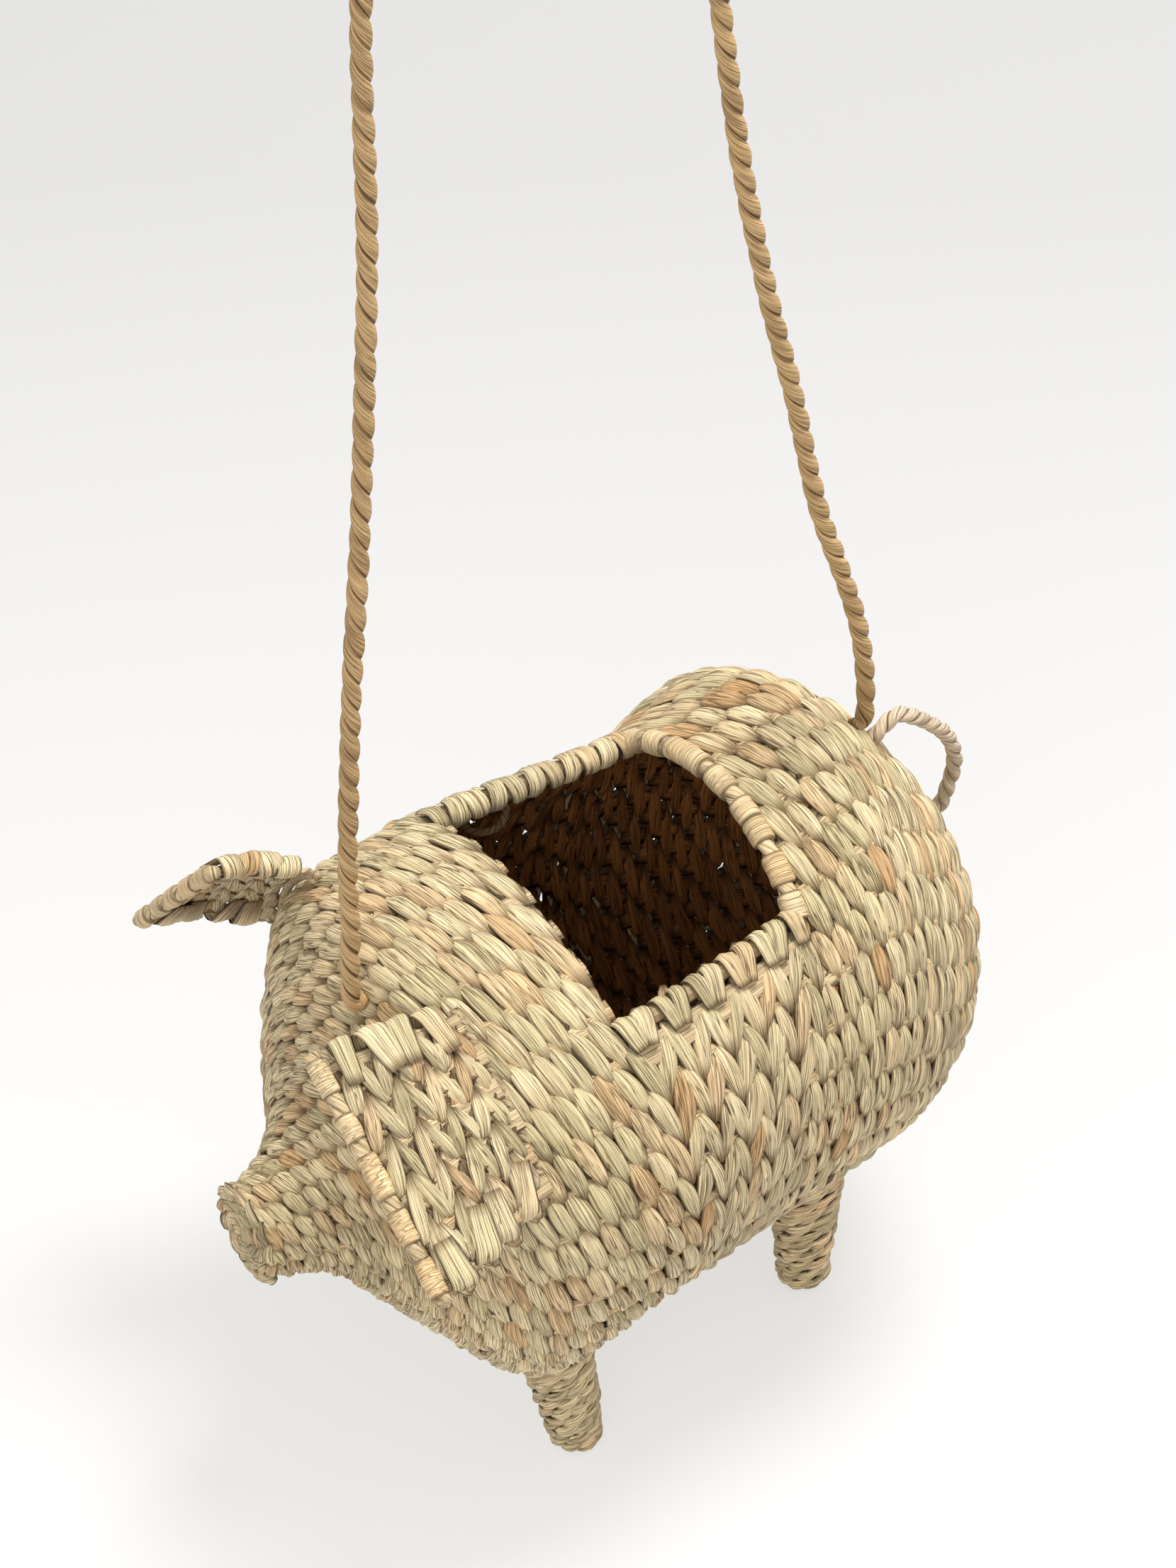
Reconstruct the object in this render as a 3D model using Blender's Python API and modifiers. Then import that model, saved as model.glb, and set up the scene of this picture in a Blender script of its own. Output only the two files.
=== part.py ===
"""Shoulder basket in the shape of a pig, hand-woven from bulrush leaf.

Metres, +Z up. The pig stands on the plane Z = 0 and faces -X, and XZ is its plane of symmetry.
The body is a lofted shell with an opening in its back. Its sections are ellipses whose planes
fan out over the opening, because the back of the pig is longer than its belly.
"""
import math

import bmesh
import bpy
from mathutils import Matrix, Vector
from mathutils.bvhtree import BVHTree

MM = 0.001
GAP = 0.4 * MM                      # clearance between pieces that touch

# Body sections from snout to rump, in millimetres and degrees:
# (x, z, forward tilt, half width, half height)
SECTIONS = (
    (-163.5, 131.0, 0.0, 20.0, 19.0),       # flat end of the snout
    (-149.5, 131.0, 0.0, 24.0, 23.0),
    (-134.5, 135.0, 0.0, 35.0, 34.0),       # root of the snout
    (-122.0, 140.0, 2.0, 58.0, 56.0),
    (-105.0, 142.0, 4.0, 84.0, 82.0),       # face
    (-84.0, 143.0, 4.0, 106.0, 105.0),      # ears
    (-35.0, 155.0, 2.0, 111.0, 96.0),       # front edge of the opening
    (0.0, 155.0, -6.0, 105.0, 100.0),
    (34.0, 155.0, -12.0, 97.0, 108.0),      # rear edge of the opening
    (64.0, 166.5, -14.0, 99.0, 113.0),
    (108.0, 152.0, -14.0, 85.0, 87.0),
    (135.0, 148.0, -12.0, 58.0, 56.0),
    (147.5, 148.0, -10.0, 26.0, 28.0),
    (150.5, 147.0, -10.0, 0.2, 0.2),        # middle of the rump
)
EAR_SECTION = 5.0
FRONT_EDGE = 6.0
REAR_EDGE = 8.0
LAST_SECTION = len(SECTIONS) - 1

WALL = 6.0 * MM
RIM_ANGLE = 40.0                    # degrees from the top to each side of the opening
ANGLE_STEP = 10
SECTION_STEP = 0.5

RIM_CORD_RADIUS = 4.5 * MM
STAKE_RADIUS = 3.5 * MM

EAR_THICKNESS = 6.0 * MM
EAR_LIFT = 4.8 * MM                 # middle of the ear above the body at its back edge
EAR_CAMBER = 5.0 * MM
EAR_CORD_RADIUS = 4.0 * MM
LASHING_RADIUS = 1.8 * MM
# Each ear: the body angles of its back edge, and its two free corners.
EARS = {
    "left": {
        "angles": (-19.0, -59.0),
        "free": (Vector((-150.7, -30.0, 247.7)) * MM, Vector((-150.8, -122.0, 201.0)) * MM),
    },
    "right": {
        "angles": (37.0, 77.0),
        "free": (Vector((-132.2, 75.0, 243.7)) * MM, Vector((-142.5, 119.8, 185.5)) * MM),
    },
}

# Each leg: the middle of its foot and the way its axis leans on the way up.
LEGS = {
    "front_left": (Vector((-53.9, -62.0, 0.0)) * MM, Vector((-0.16, 0.0, 1.0))),
    "front_right": (Vector((-53.9, 62.0, 0.0)) * MM, Vector((-0.16, 0.0, 1.0))),
    "rear_left": (Vector((69.3, -41.6, 0.0)) * MM, Vector((0.0, 0.0, 1.0))),
    "rear_right": (Vector((69.3, 41.6, 0.0)) * MM, Vector((0.0, 0.0, 1.0))),
}
FOOT_RADIUS = 10.5 * MM
CORE_RADIUS = 6.8 * MM
LEG_TAPER = 0.075                   # growth of the radius for each unit of height
SHEATH_CLEARANCE = 2.0 * MM         # the core stands this far out of the sheath at the foot
LEG_SIDES = 16

ROPE_RADIUS = 3.65 * MM
STRAP_LIFT = 5.5 * MM               # the hinge line above the wall, more than the rope's radius
STRAP_FRONT = 4.22
STRAP_REAR = 9.56
# Route of the strap in the plane Y = 0, between its two anchors: (x, z) in millimetres.
STRAP_ROUTE = (
    (-111.5, 270.0), (-111.3, 303.0), (-107.0, 378.0), (-101.0, 448.0), (-96.5, 515.0),
    (-93.2, 579.0), (-92.0, 670.0), (-84.0, 712.0), (-62.0, 746.0), (-28.0, 763.0),
    (4.0, 752.0), (26.0, 721.0), (36.0, 676.0), (43.0, 619.0), (53.0, 551.0),
    (66.0, 487.0), (78.5, 437.0), (91.0, 380.0), (103.0, 342.0), (112.0, 312.0),
    (116.8, 285.0),
)
STRAP_POINTS = 80

TAIL_RADIUS = 3.2 * MM
TAIL_Y = -4.0 * MM
TAIL_UPPER = 9.70
TAIL_LOWER = 11.28
# Route of the tail loop in the plane Y = TAIL_Y: (x, z) in millimetres.
TAIL_ROUTE = (
    (130.5, 256.5), (138.5, 251.5), (146.5, 244.0), (154.5, 234.5), (159.3, 224.0),
    (160.3, 214.0), (158.0, 204.5),
)
TAIL_POINTS = 24

KNOT_RADIUS = 8.0 * MM
TAIL_KNOT_RADIUS = 6.0 * MM

LOOP_RADIUS = 1.6 * MM
LOOP_SECTION = 6.75
LOOP_ANGLE = 56.0


def clear_scene():
    for obj in list(bpy.data.objects):
        bpy.data.objects.remove(obj, do_unlink=True)


def material(name, colour, roughness):
    mat = bpy.data.materials.new(name)
    mat.use_nodes = True
    shader = mat.node_tree.nodes["Principled BSDF"]
    shader.inputs["Base Color"].default_value = (*colour, 1.0)
    shader.inputs["Roughness"].default_value = roughness
    shader.inputs["Metallic"].default_value = 0.0
    return mat


def add_object(name, mesh, mat):
    obj = bpy.data.objects.new(name, mesh)
    bpy.data.collections["pig_basket"].objects.link(obj)
    mesh.materials.append(mat)
    return obj


def mesh_from(name, bm, mat, smooth=True):
    mesh = bpy.data.meshes.new(name)
    bm.to_mesh(mesh)
    bm.free()
    if smooth:
        mesh.shade_smooth()
        mesh.set_sharp_from_angle(angle=math.radians(50.0))
    return add_object(name, mesh, mat)


def catmull_rom(points, t):
    """Point at parameter t, from 0 to len(points) - 1, on a smooth curve through the points."""
    i = min(int(t), len(points) - 2)
    f = t - i
    p0 = points[max(i - 1, 0)]
    p1 = points[i]
    p2 = points[i + 1]
    p3 = points[min(i + 2, len(points) - 1)]
    return [
        0.5 * (2 * b + (c - a) * f + (2 * a - 5 * b + 4 * c - d) * f ** 2
               + (3 * b - a - 3 * c + d) * f ** 3)
        for a, b, c, d in zip(p0, p1, p2, p3)
    ]


def on_section(u, angle):
    """Point on the woven surface: u counts the sections, angle runs from the top towards +Y."""
    x, z, tilt, half_width, half_height = catmull_rom(SECTIONS, u)
    tilt = math.radians(tilt)
    side = math.sin(math.radians(angle))
    up = math.cos(math.radians(angle)) * half_height
    return Vector((x - up * math.sin(tilt), half_width * side, z + up * math.cos(tilt))) * MM


def along(u, angle):
    """Unit vector in the surface, towards the rump."""
    return (on_section(min(u + 0.02, LAST_SECTION), angle) - on_section(u - 0.02, angle)).normalized()


def around(u, angle):
    """Unit vector in the surface, towards +Y over the top."""
    return (on_section(u, angle + 0.5) - on_section(u, angle - 0.5)).normalized()


def body_normal(u, angle):
    return along(u, angle).cross(around(u, angle)).normalized()


def body_point(u, angle, lift=0.0):
    return on_section(u, angle) + body_normal(u, angle) * lift


def body_surface(with_opening):
    """Open surface of the body, closed at the snout and the rump, facing outwards."""
    bm = bmesh.new()
    angles = range(-180, 180, ANGLE_STEP)
    rows = int(LAST_SECTION / SECTION_STEP)
    rings = [[bm.verts.new(on_section(i * SECTION_STEP, a)) for a in angles] for i in range(rows)]
    snout = bm.verts.new(on_section(0.0, 0.0).lerp(on_section(0.0, 180.0), 0.5))
    rump = bm.verts.new(on_section(LAST_SECTION, 0.0))
    count = len(angles)
    for j in range(count):
        k = (j + 1) % count
        bm.faces.new((snout, rings[0][j], rings[0][k]))
        bm.faces.new((rump, rings[-1][k], rings[-1][j]))
        for i in range(rows - 1):
            in_length = FRONT_EDGE <= i * SECTION_STEP < REAR_EDGE
            in_width = -RIM_ANGLE <= angles[j] < RIM_ANGLE
            if with_opening and in_length and in_width:
                continue
            bm.faces.new((rings[i][j], rings[i + 1][j], rings[i + 1][k], rings[i][k]))
    loose = [v for v in bm.verts if not v.link_faces]
    bmesh.ops.delete(bm, geom=loose, context="VERTS")
    return bm


def add_body(mat):
    obj = mesh_from("woven_body", body_surface(with_opening=True), mat)
    wall = obj.modifiers.new("wall", "SOLIDIFY")
    wall.thickness = WALL
    wall.offset = -1.0
    wall.use_even_offset = True
    wall.use_rim = True


def smooth_route(points, count):
    """count points, evenly spaced in parameter, on a smooth curve through the points."""
    last = len(points) - 1
    return [Vector(catmull_rom(points, i * last / (count - 1))) for i in range(count)]


def add_tube(name, points, radius, mat, resolution=2):
    curve = bpy.data.curves.new(name, "CURVE")
    curve.dimensions = "3D"
    curve.bevel_depth = radius
    curve.bevel_resolution = resolution
    curve.use_fill_caps = True
    spline = curve.splines.new("POLY")
    spline.points.add(len(points) - 1)
    for target, point in zip(spline.points, points):
        target.co = (*point, 1.0)
    return add_object(name, curve, mat)


def add_rims(cord_mat, stake_mat):
    """The wrapped cord at the rear edge and the straight stake at each side of the opening."""
    middle = -WALL / 2
    reach = RIM_ANGLE - 4.0
    points = []
    for i in range(19):
        angle = -reach + 2 * reach * i / 18
        offset = along(REAR_EDGE, angle) * (RIM_CORD_RADIUS + GAP)
        points.append(body_point(REAR_EDGE, angle, middle) - offset)
    add_tube("rear_rim_binding", points, RIM_CORD_RADIUS, cord_mat)
    for side, name in ((-1, "left_rim_stake"), (1, "right_rim_stake")):
        points = []
        for i in range(9):
            u = FRONT_EDGE + 0.1 + 1.6 * i / 8
            offset = around(u, side * RIM_ANGLE) * side * (STAKE_RADIUS + 2 * GAP)
            points.append(body_point(u, side * RIM_ANGLE, middle) - offset)
        add_tube(name, points, STAKE_RADIUS, stake_mat)


def ear_point(ear, across, distance, lift=0.0):
    """Point on an ear: across from 0 at its upper side to 1, distance from the free edge."""
    upper, lower = ear["angles"]
    root = body_point(EAR_SECTION, upper + (lower - upper) * across, EAR_LIFT)
    tip = ear["free"][0].lerp(ear["free"][1], across)
    reach = (root - tip).length
    t = distance / reach
    bulge = EAR_CAMBER * math.sin(math.pi * t)
    return tip.lerp(root, t) + ear_normal(ear) * (bulge + lift)


def ear_normal(ear):
    """Outward normal of the whole ear."""
    upper, lower = ear["angles"]
    root = body_point(EAR_SECTION, (upper + lower) / 2, EAR_LIFT)
    forward = ear["free"][0].lerp(ear["free"][1], 0.5) - root
    down = ear["free"][1] - ear["free"][0]
    normal = forward.cross(down).normalized()
    return normal if normal.z > 0 else -normal


def ear_reach(ear, across):
    upper, lower = ear["angles"]
    root = body_point(EAR_SECTION, upper + (lower - upper) * across, EAR_LIFT)
    return (root - ear["free"][0].lerp(ear["free"][1], across)).length


def add_ear(side, ear, leaf_mat, cord_mat, lashing_mat):
    columns = 7
    rows = 6
    front = 2 * EAR_CORD_RADIUS + GAP
    bm = bmesh.new()
    grid = []
    for i in range(columns + 1):
        across = i / columns
        reach = ear_reach(ear, across)
        line = [front + (reach - front) * j / rows for j in range(rows + 1)]
        grid.append([bm.verts.new(ear_point(ear, across, d)) for d in line])
    for i in range(columns):
        for j in range(rows):
            bm.faces.new((grid[i][j], grid[i + 1][j], grid[i + 1][j + 1], grid[i][j + 1]))
    flap = mesh_from(side + "_ear", bm, leaf_mat)
    thickness = flap.modifiers.new("thickness", "SOLIDIFY")
    thickness.thickness = EAR_THICKNESS
    thickness.offset = 0.0
    cord = [ear_point(ear, i / 12, EAR_CORD_RADIUS) for i in range(13)]
    add_tube(side + "_ear_edge", cord, EAR_CORD_RADIUS, cord_mat)
    upper, lower = ear["angles"]
    behind = EAR_SECTION + 0.075
    seam = [body_point(behind, upper + (lower - upper) * (i + 0.5) / 11, LASHING_RADIUS + 2 * GAP)
            for i in range(11)]
    add_tube(side + "_ear_lashing", seam, LASHING_RADIUS, lashing_mat)


def ring_on(centre, radius, sides):
    return [centre + Vector((radius * math.cos(a), radius * math.sin(a), 0.0))
            for a in (2 * math.pi * i / sides for i in range(sides))]


def leg_rings(foot, lean, radius, start, belly):
    """Rings of a leg: at its foot, halfway, and just short of the belly."""
    axis = lean.normalized()
    bottom = ring_on(foot + lean * start, radius + LEG_TAPER * start, LEG_SIDES)
    middle = []
    top = []
    for point in bottom:
        flare = Vector((point.x - foot.x, point.y - foot.y, 0.0)).normalized() * LEG_TAPER
        way = (axis + flare).normalized()
        hit = belly.ray_cast(point, way)[0]
        top.append(hit - way * 3 * GAP)
        middle.append(point.lerp(top[-1], 0.5))
    return [bottom, middle, top]


def skin_rings(bm, rings):
    """Join rings of points with quads, and return the rings as vertices."""
    made = [[bm.verts.new(p) for p in ring] for ring in rings]
    for lower, upper in zip(made, made[1:]):
        for j in range(LEG_SIDES):
            k = (j + 1) % LEG_SIDES
            bm.faces.new((lower[j], lower[k], upper[k], upper[j]))
    return made


def add_leg(name, foot, lean, belly, leaf_mat, straw_mat):
    """A woven sheath round a straw core, both cut to the curve of the belly."""
    bm = bmesh.new()
    outer = leg_rings(foot, lean, FOOT_RADIUS, SHEATH_CLEARANCE, belly)
    inner = leg_rings(foot, lean, CORE_RADIUS + GAP, SHEATH_CLEARANCE, belly)
    made = skin_rings(bm, outer + inner[::-1])
    for j in range(LEG_SIDES):
        k = (j + 1) % LEG_SIDES
        bm.faces.new((made[-1][j], made[-1][k], made[0][k], made[0][j]))
    mesh_from(name + "_leg", bm, leaf_mat)
    bm = bmesh.new()
    made = skin_rings(bm, leg_rings(foot, lean, CORE_RADIUS, 0.0, belly))
    bm.faces.new(made[0][::-1])
    crown = bm.verts.new(sum((v.co for v in made[-1]), Vector()) / LEG_SIDES)
    for j in range(LEG_SIDES):
        bm.faces.new((made[-1][j], made[-1][(j + 1) % LEG_SIDES], crown))
    mesh_from(name + "_leg_core", bm, straw_mat)


def add_strap(mat):
    """The rope from anchor to anchor. Its origin is on the line it swings about."""
    front = body_point(STRAP_FRONT, 0.0, STRAP_LIFT)
    rear = body_point(STRAP_REAR, 0.0, STRAP_LIFT)
    route = [front] + [Vector((x, 0.0, z)) * MM for x, z in STRAP_ROUTE] + [rear]
    points = [p - front for p in smooth_route(route, STRAP_POINTS)]
    strap = add_tube("strap", points, ROPE_RADIUS, mat)
    strap.location = front


def add_tail(mat):
    ends = [(TAIL_UPPER, 1.6 * MM), (TAIL_UPPER, 6.0 * MM), (TAIL_LOWER, 6.0 * MM), (TAIL_LOWER, 1.6 * MM)]
    aside = Vector((0.0, TAIL_Y, 0.0))
    first, second, fourth, last = [body_point(u, 0.0, lift) + aside for u, lift in ends]
    route = [first, second] + [Vector((x * MM, TAIL_Y, z * MM)) for x, z in TAIL_ROUTE] + [fourth, last]
    add_tube("tail_loop", smooth_route(route, TAIL_POINTS), TAIL_RADIUS, mat)


def add_knot(name, u, radius, y, mat):
    """A knot drawn tight against the inside of the wall: a squashed ball."""
    bm = bmesh.new()
    bmesh.ops.create_uvsphere(bm, u_segments=12, v_segments=8, radius=radius)
    normal = body_normal(u, 0.0)
    squash = 0.75
    centre = on_section(u, 0.0) - normal * (WALL + squash * radius + 4 * GAP)
    turn = normal.to_track_quat("Z", "Y").to_matrix().to_4x4()
    place = Matrix.Translation(centre + Vector((0.0, y, 0.0))) @ turn
    bmesh.ops.transform(bm, matrix=place @ Matrix.Diagonal((1.0, 1.0, squash, 1.0)), verts=bm.verts)
    mesh_from(name, bm, mat)


def add_closure_loop(mat):
    """A small twisted loop on the inside of the right wall, just under the rim."""
    normal = body_normal(LOOP_SECTION, LOOP_ANGLE)
    lengthwise = along(LOOP_SECTION, LOOP_ANGLE)
    base = on_section(LOOP_SECTION, LOOP_ANGLE) - normal * (WALL + LOOP_RADIUS + 2 * GAP)
    points = []
    for i in range(15):
        angle = math.pi * i / 14
        out = math.sin(angle) * 9.0 * MM
        points.append(base + lengthwise * math.cos(angle) * 10.0 * MM - normal * out)
    add_tube("closure_loop", points, LOOP_RADIUS, mat)


def build():
    clear_scene()
    collection = bpy.data.collections.new("pig_basket")
    bpy.context.scene.collection.children.link(collection)
    leaf = material("bulrush_weave", (0.72, 0.61, 0.40), 0.62)
    ear_leaf = material("ear_weave", (0.76, 0.65, 0.43), 0.60)
    leg_leaf = material("leg_weave", (0.62, 0.50, 0.30), 0.66)
    wrap = material("rim_wrap", (0.80, 0.66, 0.46), 0.58)
    stake = material("edge_stake", (0.82, 0.70, 0.50), 0.60)
    rope = material("strap_rope", (0.58, 0.36, 0.17), 0.62)
    pale_cord = material("tail_cord", (0.85, 0.70, 0.52), 0.60)
    straw = material("leg_straw", (0.66, 0.52, 0.28), 0.70)
    add_body(leaf)
    add_rims(wrap, stake)
    for side, ear in EARS.items():
        add_ear(side, ear, ear_leaf, wrap, stake)
    surface = body_surface(with_opening=False)
    belly = BVHTree.FromBMesh(surface)
    surface.free()
    for name, (foot, lean) in LEGS.items():
        add_leg(name, foot, lean, belly, leg_leaf, straw)
    add_strap(rope)
    add_tail(pale_cord)
    add_knot("strap_front_knot", STRAP_FRONT, KNOT_RADIUS, 0.0, rope)
    add_knot("strap_rear_knot", STRAP_REAR, KNOT_RADIUS, 0.0, rope)
    add_knot("tail_upper_knot", TAIL_UPPER + 0.35, TAIL_KNOT_RADIUS, TAIL_Y, pale_cord)
    add_knot("tail_lower_knot", TAIL_LOWER, TAIL_KNOT_RADIUS, TAIL_Y, pale_cord)
    add_closure_loop(rope)


build()
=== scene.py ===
"""The pig basket as it looks: every leaf of the weave, the folded rims, the ropes and the light.

All lengths are in metres, except the tables, which are in millimetres. The smooth body, the ears
and the ropes repeat the sizes of part.py. Each leaf of the weave is laid on them as a small strip.
"""
import math

import bpy
import numpy as np
from mathutils import Matrix, Vector
from mathutils.bvhtree import BVHTree


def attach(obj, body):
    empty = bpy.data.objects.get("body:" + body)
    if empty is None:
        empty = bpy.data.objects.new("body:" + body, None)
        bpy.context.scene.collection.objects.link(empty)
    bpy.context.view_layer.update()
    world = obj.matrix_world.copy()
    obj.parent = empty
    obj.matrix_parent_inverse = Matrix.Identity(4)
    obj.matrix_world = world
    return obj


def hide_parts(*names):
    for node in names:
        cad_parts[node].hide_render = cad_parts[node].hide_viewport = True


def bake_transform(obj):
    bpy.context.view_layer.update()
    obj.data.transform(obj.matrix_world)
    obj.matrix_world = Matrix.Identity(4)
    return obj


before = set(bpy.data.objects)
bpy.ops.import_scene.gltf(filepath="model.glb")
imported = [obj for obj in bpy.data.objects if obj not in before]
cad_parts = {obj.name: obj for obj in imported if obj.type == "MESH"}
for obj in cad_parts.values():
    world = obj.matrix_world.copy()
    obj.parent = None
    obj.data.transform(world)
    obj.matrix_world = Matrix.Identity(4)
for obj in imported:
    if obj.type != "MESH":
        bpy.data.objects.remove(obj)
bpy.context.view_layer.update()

MM = 0.001
random = np.random.default_rng(11)

# Camera
CAMERA_PLACE = Vector((-0.7166, -1.1031, 1.5544))
CAMERA_AZIMUTH = math.radians(-32.7)
CAMERA_ELEVATION = math.radians(44.0)
CAMERA_LENS_MM = 112.9

# Body sections: x, z, forward tilt, half width, half height, in millimetres and degrees
SECTIONS = np.array((
    (-163.5, 131.0, 0.0, 20.0, 19.0),
    (-149.5, 131.0, 0.0, 24.0, 23.0),
    (-134.5, 135.0, 0.0, 35.0, 34.0),
    (-122.0, 140.0, 2.0, 58.0, 56.0),
    (-105.0, 142.0, 4.0, 84.0, 82.0),
    (-84.0, 143.0, 4.0, 106.0, 105.0),
    (-35.0, 155.0, 2.0, 111.0, 96.0),
    (0.0, 155.0, -6.0, 105.0, 100.0),
    (34.0, 155.0, -12.0, 97.0, 108.0),
    (64.0, 166.5, -14.0, 99.0, 113.0),
    (108.0, 152.0, -14.0, 85.0, 87.0),
    (135.0, 148.0, -12.0, 58.0, 56.0),
    (147.5, 148.0, -10.0, 26.0, 28.0),
    (150.5, 147.0, -10.0, 0.2, 0.2),
))
FRONT_EDGE = 6.0
REAR_EDGE = 8.0
LAST_SECTION = len(SECTIONS) - 1
RIM_ANGLE = 40.0
WALL = 6.0 * MM

# Weave of the body
ROW_LINE_ANGLE = -60.0              # the rows are spaced along this line of the body
ROW_SECTIONS = (0.0, 3.0, 4.0, 5.0, 6.0, 8.0, 13.0)
ROW_SPACINGS_MM = (6.8, 7.2, 8.0, 8.6, 8.6, 7.6, 7.4)
OPENING_ROWS = 11
STITCH_SECTIONS = (0.0, 2.0, 3.5, 5.0, 6.0, 10.0, 12.0, 13.0)
STITCH_PITCHES_MM = (9.5, 10.5, 13.5, 17.5, 19.0, 18.0, 14.0, 10.0)
WARP_LINE_ANGLE = -60.0             # the stitches of all the closed rows line up here
SLANT = 0.42                        # sideways travel of a leaf, in rows, from its middle to its end
V_SLANT = 0.46                      # the same where the rows pair up into Vs
REACH = 0.73                        # half the length of a leaf, in stitches
LEAF_WIDTH = 0.54                   # greatest half width of a leaf, in row spacings
WARP_OFFSET = -0.33                 # where a warp shows, in stitches from the middle of a leaf
WARP_REACH = 0.75                   # half the length of each stretch of warp, in rows
SNOUT_RINGS = 3.4                   # rings of stitches on the flat end of the snout
LEAF_STEPS = 15
PINHOLES = 0.10                     # share of the warps that are missing, which lets light through

STAKE_RADIUS = 3.5 * MM
RIM_CORD_RADIUS = 4.1 * MM

# Ears
EAR_SECTION = 5.0
EAR_LIFT = 4.8 * MM
EAR_CAMBER = 5.0 * MM
EAR_CORD_RADIUS = 3.9 * MM
EAR_ROWS = 8
EAR_STITCHES = 5
EARS = {
    "left": ((-19.0, -59.0), ((-150.7, -30.0, 247.7), (-150.8, -122.0, 201.0))),
    "right": ((37.0, 77.0), ((-132.2, 75.0, 243.7), (-142.5, 119.8, 185.5))),
}

# Legs: the middle of the foot, and the lean for each unit of height
LEGS = {
    "front_left": ((-53.9, -62.0), -0.16),
    "front_right": ((-53.9, 62.0), -0.16),
    "rear_left": ((69.3, -41.6), 0.0),
    "rear_right": ((69.3, 41.6), 0.0),
}
FOOT_RADIUS = 10.5 * MM
FOOT_CLEARANCE = 2.0 * MM
LEG_TAPER = 0.075
LEG_ROW = 6.0 * MM
LEG_STITCHES = 8

# Ropes: (x, z) in millimetres in the plane of each rope
ROPE_RADIUS = 3.65 * MM
ROPE_LAY = 24.0 * MM
STRAP_FRONT = 4.22
STRAP_REAR = 9.56
STRAP_LIFT = 5.5 * MM
STRAP_ROUTE = (
    (-111.5, 270.0), (-111.3, 303.0), (-107.0, 378.0), (-101.0, 448.0), (-96.5, 515.0),
    (-93.2, 579.0), (-92.0, 670.0), (-84.0, 712.0), (-62.0, 746.0), (-28.0, 763.0),
    (4.0, 752.0), (26.0, 721.0), (36.0, 676.0), (43.0, 619.0), (53.0, 551.0),
    (66.0, 487.0), (78.5, 437.0), (91.0, 380.0), (103.0, 342.0), (112.0, 312.0),
    (116.8, 285.0),
)
TAIL_RADIUS = 3.3 * MM
TAIL_LAY = 15.0 * MM
TAIL_Y = -4.0 * MM
TAIL_UPPER = 9.70
TAIL_LOWER = 11.28
TAIL_ROUTE = (
    (130.5, 256.5), (138.5, 251.5), (146.5, 244.0), (154.5, 234.5), (159.3, 224.0),
    (160.3, 214.0), (158.0, 204.5),
)
LOOP_RADIUS = 1.7 * MM
LOOP_SECTION = 6.75
LOOP_ANGLE = 56.0

# Colours, linear RGB
LEAF_COLOURS = (
    (0.0, (0.69, 0.585, 0.335)), (0.16, (0.82, 0.695, 0.41)), (0.40, (0.91, 0.76, 0.47)),
    (0.66, (0.92, 0.75, 0.46)), (0.88, (0.90, 0.67, 0.39)), (0.97, (0.80, 0.54, 0.28)),
    (1.0, (0.70, 0.43, 0.20)),
)
# Inner leaves: dark orange-brown as painted shade and painted glow of light coming through the leaves,
# up to pale as painted light near the rim.
INNER_SHADE_AND_GLOW_COLOURS = (
    (0.0, (0.42, 0.16, 0.040)), (0.3, (0.60, 0.24, 0.060)), (0.7, (0.80, 0.55, 0.27)),
    (1.0, (0.95, 0.78, 0.48)),
)
PALE_COLOURS = ((0.0, (0.80, 0.60, 0.33)), (0.6, (0.90, 0.70, 0.42)), (1.0, (0.86, 0.60, 0.32)))
LEG_COLOURS = ((0.0, (0.74, 0.61, 0.34)), (0.5, (0.96, 0.78, 0.47)), (1.0, (0.97, 0.69, 0.40)))
ROPE_COLOURS = ((0.0, (0.62, 0.40, 0.18)), (0.5, (0.74, 0.49, 0.235)), (1.0, (0.80, 0.56, 0.30)))
TAIL_COLOURS = ((0.0, (0.88, 0.68, 0.46)), (0.5, (0.93, 0.75, 0.54)), (1.0, (0.92, 0.74, 0.56)))
# Colour of the creases and of the ends under other leaves: partly the leaves' own darker folds and
# partly painted shade.
CREASE_SHADE_COLOUR = (0.20, 0.11, 0.045)
# Near-black colour for the long sides of leaves and the creases inside: partly the leaves' own brown and
# partly painted shade in the gaps and creases.
DARK_BROWN_AND_GAP_SHADE = (0.05, 0.025, 0.01)
# Painted shade in the grooves between the plies of the ropes.
ROPE_GROOVE_SHADE = (0.17, 0.075, 0.025)
BLOTCHES = ((0.30, (0.80, 0.77, 0.70)), (0.60, (1.0, 1.0, 1.0)))
# Mask for painted shade at both ends of a leaf, where it goes in under other leaves.
TUCKED_IN_SHADE = (
    (0.10, (1.0, 1.0, 1.0)), (0.30, (0.0, 0.0, 0.0)), (0.91, (0.0, 0.0, 0.0)),
    (0.99, (1.0, 1.0, 1.0)),
)
FIBRES = ((0.36, (0.74, 0.66, 0.56)), (0.56, (1.0, 1.0, 1.0)))


# ---------------------------------------------------------------- smooth shapes

def unit(vectors):
    return vectors / np.maximum(np.linalg.norm(vectors, axis=-1, keepdims=True), 1e-12)


def catmull_rom(table, t):
    """Points at the parameters t, from 0 to len(table) - 1, on a smooth curve through the table."""
    table = np.asarray(table, float)
    t = np.clip(t, 0.0, len(table) - 1.0)
    i = np.minimum(t.astype(int), len(table) - 2)
    f = (t - i)[..., None]
    a = table[np.maximum(i - 1, 0)]
    b = table[i]
    c = table[i + 1]
    d = table[np.minimum(i + 2, len(table) - 1)]
    return 0.5 * (2 * b + (c - a) * f + (2 * a - 5 * b + 4 * c - d) * f ** 2
                  + (3 * b - a - 3 * c + d) * f ** 3)


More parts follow.
